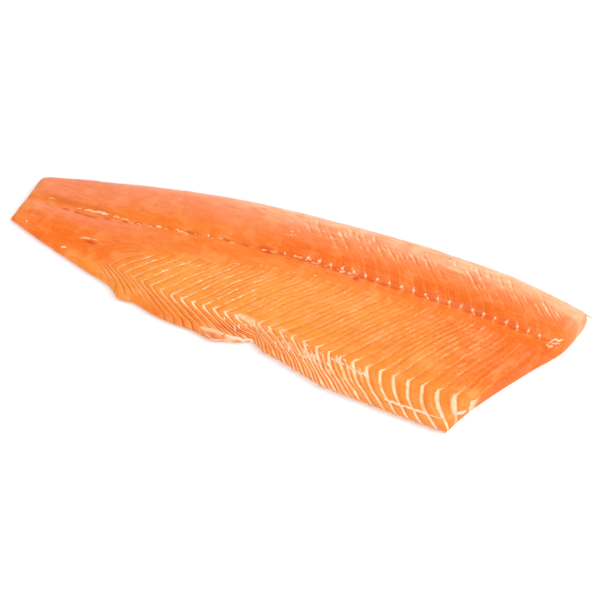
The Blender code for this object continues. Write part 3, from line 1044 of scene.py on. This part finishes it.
def soft_fat():
    """Bits of fat and thin membrane, moist: white where the piece is marked pale, else a
    golden orange."""
    material, tree, skin = new_material("soft_fat")
    pale = add(tree, "ShaderNodeAttribute", attribute_name="pale").outputs["Fac"]
    links = {0: pale, 6: linear(THREAD_GOLD), 7: linear(BONE_WHITE)}
    node = add(tree, "ShaderNodeMix", links, data_type="RGBA")
    tree.links.new(node.outputs[2], skin.inputs["Base Color"])
    for socket, amount in FAT_SURFACE.items():
        skin.inputs[socket].default_value = amount
    return material


def speck_centre():
    point = surface(*flake_and_column(*SPECK))[0]
    return tuple(to_frame(point))


# Small pieces


def plan_points(path, step=1.0):
    """Points about a millimetre apart along a path given by its corners."""
    corners = np.array(path, float)
    lengths = np.linalg.norm(np.diff(corners, axis=0), axis=1)
    at = np.concatenate(([0], np.cumsum(lengths)))
    along_path = np.linspace(0, at[-1], max(3, int(at[-1] / step) + 1))
    return np.stack([np.interp(along_path, at, corners[:, k]) for k in (0, 1)], axis=-1)


def thread_mesh(threads):
    """Lines of points on the flesh: each thread is (path, half width, paleness)."""
    points, edges, girths, pales = [], [], [], []
    for path, girth, pale in threads:
        plan = plan_points(path)
        top, out = surface(*flake_and_column(plan[:, 0], plan[:, 1]))
        share = np.linspace(0, 1, len(plan))
        taper = np.sqrt(np.clip(np.sin(np.pi * (0.06 + 0.88 * share)), 0, 1))
        sunk = top - out * (0.45 * girth * taper)[:, None]
        first = len(points)
        points += to_frame(sunk).tolist()
        edges += [(first + k, first + k + 1) for k in range(len(plan) - 1)]
        girths += (girth * MM * taper).tolist()
        pales += [pale] * len(plan)
    mesh = bpy.data.meshes.new("thread_lines")
    mesh.from_pydata(points, edges, [])
    for name, values in (("girth", girths), ("pale", pales)):
        mesh.attributes.new(name, "FLOAT", "POINT").data.foreach_set("value", values)
    return mesh


def new_growth(name, inputs):
    """An empty tree of geometry nodes with a mesh in and out and the named inputs."""
    tree = bpy.data.node_groups.new(name, "GeometryNodeTree")
    tree.interface.new_socket("Geometry", in_out="OUTPUT", socket_type="NodeSocketGeometry")
    tree.interface.new_socket("Geometry", in_out="INPUT", socket_type="NodeSocketGeometry")
    for label, kind in inputs:
        tree.interface.new_socket(label, in_out="INPUT", socket_type=kind)
    return tree, add(tree, "NodeGroupInput").outputs, add(tree, "NodeGroupOutput")


def finish_growth(tree, geometry, material, group_out):
    real = add(tree, "GeometryNodeRealizeInstances", {"Geometry": geometry})
    links = {"Geometry": real.outputs[0], "Material": material}
    painted = add(tree, "GeometryNodeSetMaterial", links)
    tree.links.new(painted.outputs[0], group_out.inputs[0])


def threads_of_fat(material):
    """Turns lines of points into round threads with a ragged surface."""
    inputs = (("Raggedness", "NodeSocketFloat"), ("Lump scale", "NodeSocketFloat"))
    tree, given, group_out = new_growth("threads_of_fat", inputs)
    girth = add(tree, "GeometryNodeInputNamedAttribute", {"Name": "girth"}, data_type="FLOAT")
    curve = add(tree, "GeometryNodeMeshToCurve", {"Mesh": given["Geometry"]})
    ring = add(tree, "GeometryNodeCurvePrimitiveCircle", {"Resolution": 8, "Radius": 1.0})
    links = {"Curve": curve.outputs[0], "Profile Curve": ring.outputs[0]}
    links.update({"Scale": girth.outputs[0], "Fill Caps": True})
    tube = add(tree, "GeometryNodeCurveToMesh", links)
    bumps = add(tree, "ShaderNodeTexNoise", {"Scale": given["Lump scale"], "Detail": 2.0})
    links = {0: bumps.outputs["Color"], 1: (0.5, 0.5, 0.5)}
    middle = add(tree, "ShaderNodeVectorMath", links, operation="SUBTRACT")
    links = {0: middle.outputs[0], "Scale": given["Raggedness"]}
    offset = add(tree, "ShaderNodeVectorMath", links, operation="SCALE")
    links = {"Geometry": tube.outputs[0], "Offset": offset.outputs[0]}
    moved = add(tree, "GeometryNodeSetPosition", links)
    finish_growth(tree, moved.outputs[0], material, group_out)
    return tree


def bone_ends(material):
    """Puts a small round bone end on each point, of uneven size."""
    inputs = (("Radius", "NodeSocketFloat"), ("Smallest", "NodeSocketFloat"))
    inputs += (("Seed", "NodeSocketInt"),)
    tree, given, group_out = new_growth("bone_ends", inputs)
    ball = add(tree, "GeometryNodeMeshIcoSphere", {"Radius": given["Radius"], "Subdivisions": 2})
    links = {2: given["Smallest"], 3: 1.0, "Seed": given["Seed"]}
    size = add(tree, "FunctionNodeRandomValue", links, data_type="FLOAT")
    links = {"Points": given["Geometry"], "Instance": ball.outputs[0], "Scale": size.outputs[1]}
    balls = add(tree, "GeometryNodeInstanceOnPoints", links)
    finish_growth(tree, balls.outputs[0], material, group_out)
    return tree


def grow(name, mesh, tree, settings):
    """Evaluates geometry nodes on a mesh and keeps the closed result as a plain object."""
    seedling = bpy.data.objects.new("seedling", mesh)
    bpy.context.collection.objects.link(seedling)
    modifier = seedling.modifiers.new("grow", "NODES")
    modifier.node_group = tree
    for item in tree.interface.items_tree:
        if item.in_out == "INPUT" and item.name in settings:
            modifier[item.identifier] = settings[item.name]
    evaluated = seedling.evaluated_get(bpy.context.evaluated_depsgraph_get())
    grown = bpy.data.meshes.new_from_object(evaluated)
    bpy.data.objects.remove(seedling)
    bm = bmesh.new()
    bm.from_mesh(grown)
    bmesh.ops.recalc_face_normals(bm, faces=bm.faces)
    bm.to_mesh(grown)
    bm.free()
    grown.shade_smooth()
    grown.name = name
    thing = bpy.data.objects.new(name, grown)
    bpy.context.collection.objects.link(thing)
    return thing


def groove_bits(draw):
    """Bits of fat left along the pin line's groove, thickest over the tail."""
    bits = [
        ([(-231, 4.6), (-226, 5.6)], 0.9, 0.2),
        ([(-223, 5.0), (-219, 6.6), (-214, 6.2), (-210, 7.4)], 1.3, 0.45),
        ([(-213, 6.2), (-208, 8.4), (-203, 7.6), (-199, 8.8)], 1.5, 0.5),
        ([(-207, 7.6), (-204, 8.4), (-201, 8.0)], 1.4, 1.0),
        ([(-194, 8.0), (-190, 9.0), (-187, 8.4)], 1.3, 0.2),
        ([(-186, 8.2), (-181, 9.4), (-177, 8.6)], 1.4, 0.1),
        ([(-262, 6.2), (-256, 7.0)], 0.9, 0.1),
    ]
    x = -178.0
    while x < 40:
        y = float(along(PIN_LINE, np.array([x]))[0]) + draw.uniform(0.4, 2.8)
        length = draw.uniform(2, 7)
        bend = draw.uniform(-1.6, 1.6)
        path = [(x, y), (x + 0.3 * length, y + bend)]
        path += [(x + 0.7 * length, y - 0.5 * bend), (x + length, y)]
        bits.append((path, draw.uniform(0.6, 1.5), 0.7 * draw.random() ** 2))
        x += draw.uniform(2, 13)
    return bits


def bone_tails(draw):
    """A short pale tail of fat runs from each bone end towards the belly, some the other way."""
    tails = []
    for bone in range(FIRST_BONE, LAST_BONE + 1):
        x, y, _up = place(np.array([bone]), np.array([BONE_COLUMN]))
        x, y = float(x[0]), float(y[0])
        length, lean = draw.uniform(2.2, 3.6), draw.uniform(-0.7, 1.3)
        path = [(x, y), (x + lean * length, y - length)]
        tails.append((path, draw.uniform(0.5, 0.8), draw.uniform(0.2, 0.5)))
        if draw.random() < 0.5:
            length, lean = draw.uniform(2, 3.2), draw.uniform(-1, 1)
            path = [(x, y), (x + lean * length, y + length)]
            tails.append((path, draw.uniform(0.4, 0.7), draw.uniform(0.3, 0.5)))
    return tails


def loin_flecks(draw):
    """Short flecks of fat scattered over the middle of the loin."""
    flecks = []
    for _ in range(LOIN_FLECKS):
        x, y = draw.uniform(-150, 60), draw.uniform(46, 64)
        length, lean = draw.uniform(1.5, 4), draw.uniform(-0.6, 0.2)
        path = [(x, y), (x + length, y + lean * length)]
        flecks.append((path, draw.uniform(0.3, 0.6), draw.uniform(0.1, 0.6)))
    return flecks


def strip_flecks(draw):
    """Flecks of fat where the ribs start, below the backbone strip."""
    flecks = []
    x = -75.0
    while x < 60:
        y = float(along(STRIP_EDGE, np.array([x]))[0]) + draw.uniform(-6, -1)
        length = draw.uniform(2, 5)
        path = [(x, y), (x + length, y + 0.3 * length)]
        flecks.append((path, draw.uniform(0.35, 0.7), draw.uniform(0.1, 0.6)))
        x += draw.uniform(5, 14)
    return flecks


def side_bits(draw):
    """Torn bits of fat over the side, between the flap and the front half."""
    bits = []
    for _ in range(SIDE_BITS):
        x, share = draw.uniform(-34, 76), draw.uniform(0.02, 0.8)
        fold, edge = along(CHEVRON_LINE, np.array([x]))[0], belly_edge(np.array([x]))[0]
        y = float(fold + share * (edge + 4 - fold))
        length, lean = draw.uniform(1.2, 4), draw.uniform(0.6, 1.5)
        bend = draw.uniform(-0.4, 0.4)
        path = [(x, y), (x + 0.5 * length + bend, y - 0.5 * lean * length)]
        path += [(x + length, y - lean * length)]
        inside = [point for point in path if point[1] > edge + 2.5]
        if len(inside) > 1:
            bits.append((inside, draw.uniform(0.6, 1.3), draw.uniform(0.2, 0.7)))
    return bits


def other_bits():
    """Fat and membrane at places of their own: the crown, the fold, the flap and both ends."""
    crown = [(72, 66), (84, 67), (95, 66), (107, 66), (116, 65), (124, 65), (137, 63), (149, 61.5)]
    return [
        (crown[:3], 0.45, 0.4),
        (crown[4:6], 0.5, 0.5),
        ([(158, 84), (166, 82), (172, 79.6)], 0.5, 0.6),
        ([(176, 84), (196, 82), (216, 79), (232, 76.5), (239, 75)], 0.7, 0.7),
        ([(185, 80), (207, 77.5), (226, 75.5), (239, 75)], 0.8, 0.4),
        ([(190, 76), (203, 75), (214, 74), (228, 74), (238, 75)], 0.6, 0.3),
        ([(83, -61.5), (86, -63), (88, -61), (92, -64)], 1.2, 0.7),
        ([(73, -59), (76, -61.5), (79, -60), (83, -62)], 0.9, 0.6),
        ([(58, -58), (62, -60)], 0.9, 0.5),
        ([(34, -63), (38, -65), (41, -62.5), (46, -62)], 0.9, 0.5),
        ([(113, -76.5), (119, -76.8), (125, -77), (132, -77)], 1.2, 0.75),
        ([(130, -76.5), (139, -76.5), (145, -76), (152, -76.5)], 1.2, 0.75),
        ([(153, -76), (160, -76), (166, -74)], 0.8, 0.4),
        ([(163.5, -50), (164.5, -57), (167, -63), (171, -67)], 1.3, 0.5),
        ([(171, -66), (175, -61.5), (177.5, -58)], 1.4, 0.8),
        ([(-60, -71.5), (-54, -71.5), (-46, -70.5), (-38, -70.5)], 1.9, 0.45),
        ([(-36, -70), (-29, -69), (-22, -66.5), (-13, -64)], 1.7, 0.8),
        ([(-53, -75), (-46, -76), (-38, -74.5), (-28, -70)], 0.9, 0.5),
        ([(6, -47), (9, -49)], 1.4, 0.5),
        ([(18, -59), (20, -62), (21, -66)], 1.3, 0.5),
        ([(30, -65), (36, -66), (40, -62), (46, -60)], 1.3, 0.5),
        ([(60, -57), (64, -59.5), (70, -59.5)], 1.3, 0.6),
        ([(-45.5, -55.5), (-43.5, -57.5)], 1.2, 0.7),
        ([(-36, -50), (-35, -53)], 1.7, 0.7),
        ([(-220, -41), (-218, -39), (-215, -39.5)], 1.2, 0.7),
        ([(-219, -38), (-217, -41)], 1.2, 0.5),
        ([(-208, -26), (-203, -24.5), (-198, -24)], 1.2, 0.3),
        ([(-197, -24), (-191, -23.5)], 0.8, 0.2),
        ([(-267.5, -25.5), (-265.5, -26)], 1.2, 0.9),
        ([(217, 33), (220, 35.5), (222, 35), (225.5, 37.5)], 1.0, 0.8),
        ([(214.5, 30), (217, 32.5), (219, 32), (224, 34)], 0.8, 0.6),
        ([(214, 28.5), (217, 28), (219.5, 30)], 0.8, 0.6),
        ([(222, 31), (224, 29)], 1.0, 0.1),
    ]


def make_threads(material):
    draw = np.random.default_rng(71)
    threads = groove_bits(draw) + bone_tails(draw) + loin_flecks(draw) + strip_flecks(draw)
    threads += side_bits(draw) + other_bits()
    settings = {"Raggedness": THREAD_LUMPS * MM, "Lump scale": 1 / (LUMP_SIZE * MM)}
    return grow("fat_threads", thread_mesh(threads), threads_of_fat(material), settings)


def make_bones(material):
    """The pin bones' ends, one on each flake boundary of the front half."""
    bones = np.arange(FIRST_BONE, LAST_BONE + 1)
    top, out = surface(bones, BONE_COLUMN)
    mesh = bpy.data.meshes.new("bone_points")
    mesh.from_pydata(to_frame(top - BONE_SUNK * out).tolist(), [], [])
    pale = mesh.attributes.new("pale", "FLOAT", "POINT")
    pale.data.foreach_set("value", [BONE_PALENESS] * len(bones))
    settings = {"Radius": BONE_RADIUS * MM, "Smallest": 0.65, "Seed": 5}
    return grow("pin_bones", mesh, bone_ends(material), settings)


# Floor, light and camera


def make_floor():
    """A wide matt white sweep of paper."""
    material, _tree, paper = new_material("white_paper")
    paper.inputs["Base Color"].default_value = linear(FLOOR_WHITE)
    paper.inputs["Roughness"].default_value = 0.9
    mesh = bpy.data.meshes.new("floor")
    half = FLOOR_HALF_WIDTH
    corners = [(-half, -half, 0), (half, -half, 0), (half, half, 0), (-half, half, 0)]
    mesh.from_pydata(corners, [], [(0, 1, 2, 3)])
    mesh.materials.append(material)
    floor = bpy.data.objects.new("floor", mesh)
    bpy.context.collection.objects.link(floor)
    return floor


def aim(thing, target):
    thing.rotation_mode = "QUATERNION"
    thing.rotation_quaternion = (Vector(target) - thing.location).to_track_quat("-Z", "Y")


def add_lamp(name, place_at, size, watts):
    lamp = bpy.data.lights.new(name, "AREA")
    lamp.shape = "DISK"
    lamp.size = size
    lamp.energy = watts
    thing = bpy.data.objects.new(name, lamp)
    thing.location = place_at
    aim(thing, (0, 0, 0))
    bpy.context.collection.objects.link(thing)


def add_camera():
    """The photograph's view: from the belly side, towards the head end, looking down."""
    azimuth, elevation = np.radians(CAMERA_AZIMUTH), np.radians(CAMERA_ELEVATION)
    back = Vector((
        np.sin(azimuth) * np.cos(elevation),
        -np.cos(azimuth) * np.cos(elevation),
        np.sin(elevation),
    ))
    target = Vector((-MIDDLE[0] * MM, -MIDDLE[1] * MM, 0))
    lens = bpy.data.cameras.new("camera")
    lens.lens = LENS
    lens.sensor_width = SENSOR
    camera = bpy.data.objects.new("camera", lens)
    camera.location = target + back * CAMERA_DISTANCE
    aim(camera, target)
    bpy.context.collection.objects.link(camera)
    bpy.context.scene.camera = camera


def light_stage():
    world = bpy.data.worlds.new("studio")
    world.use_nodes = True
    sky = world.node_tree.nodes["Background"]
    sky.inputs["Color"].default_value = (1, 1, 1, 1)
    sky.inputs["Strength"].default_value = SKY_STRENGTH
    bpy.context.scene.world = world
    for name, (place_at, size, watts) in LAMPS.items():
        add_lamp(name, place_at, size, watts)


bpy.context.scene.view_settings.view_transform = "Standard"
add_camera()
light_stage()
floor = make_floor()

flesh = make_flesh(wet_flesh())
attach(flesh, "root")
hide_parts("fillet")

fat = soft_fat()
for piece in (make_threads(fat), make_bones(fat)):
    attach(piece, "root")
